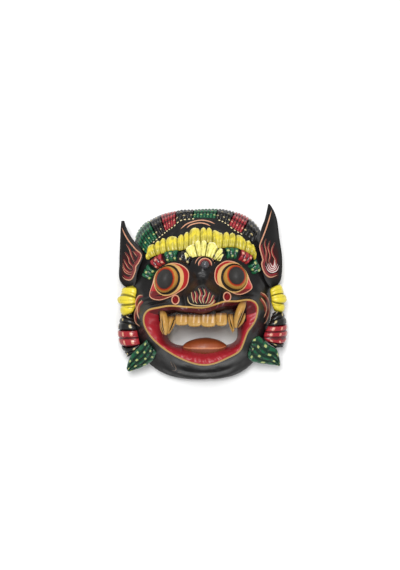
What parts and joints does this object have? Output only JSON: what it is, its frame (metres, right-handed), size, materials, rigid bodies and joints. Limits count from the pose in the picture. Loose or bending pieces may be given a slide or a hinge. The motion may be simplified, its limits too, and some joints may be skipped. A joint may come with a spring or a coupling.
{
  "type": "barong mask",
  "caption": "Hand-carved and painted wooden mask of a guardian spirit with a gaping fanged mouth, bulging eyes, pointed ears and a leafy crown, hollow behind.",
  "frame": {"origin": "on the table under the middle of the mask, which lies face up on its back rim", "axes": "+Z out of the face, +Y towards the top of the head, +X to the viewer's right"},
  "size_m": [0.2003, 0.2054, 0.0951],
  "materials": {
    "black_paint": "hand-brushed satin black paint on carved wood",
    "red_paint": "hand-brushed satin red paint on carved wood",
    "green_paint": "hand-brushed satin green paint on carved wood",
    "yellow_paint": "hand-brushed satin yellow paint on carved wood",
    "ochre_paint": "hand-brushed satin ochre paint on carved wood",
    "tongue_paint": "hand-brushed satin orange-brown paint on carved wood",
    "eye_paint": "hand-brushed satin ochre, orange and black paint on carved wood",
    "line_paint": "thick cream and gold paint lines brushed over the dark ground"
  },
  "bodies": {
    "root": {"mask": "black_paint"}
  },
  "joints": []
}
